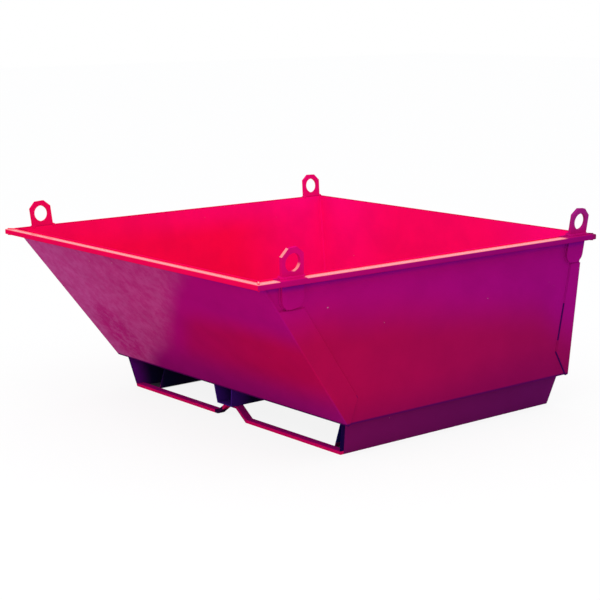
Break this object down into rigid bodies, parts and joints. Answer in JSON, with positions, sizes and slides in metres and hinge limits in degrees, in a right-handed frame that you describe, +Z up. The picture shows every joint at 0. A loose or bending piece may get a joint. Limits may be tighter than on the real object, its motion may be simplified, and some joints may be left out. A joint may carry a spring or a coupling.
{
  "type": "concrete hopper",
  "caption": "Low open steel hopper with a sloping front wall, tube rim, lifting lugs at the corners and a welded base with fork pockets.",
  "frame": {"origin": "middle of the bounding box, at the level of the feet", "axes": "+Z up, +X to the hopper's right seen from the sloping front wall, +Y from the sloping front wall to the upright back wall"},
  "size_m": [1.5792, 1.57, 0.7658],
  "materials": {
    "red_paint": "glossy crimson enamel over welded steel plate"
  },
  "bodies": {
    "root": {"front_wall": "red_paint", "back_wall": "red_paint", "left_side_wall": "red_paint", "right_side_wall": "red_paint", "floor_plate": "red_paint", "front_rim_tube": "red_paint", "back_rim_tube": "red_paint", "left_rim_tube": "red_paint", "right_rim_tube": "red_paint", "front_left_lifting_lug": "red_paint", "front_right_lifting_lug": "red_paint", "back_left_lifting_lug": "red_paint", "back_right_lifting_lug": "red_paint", "left_skirt": "red_paint", "right_skirt": "red_paint", "left_fork_guide": "red_paint", "right_fork_guide": "red_paint", "middle_channel": "red_paint", "front_fork_strap": "red_paint", "back_fork_strap": "red_paint"}
  },
  "joints": []
}
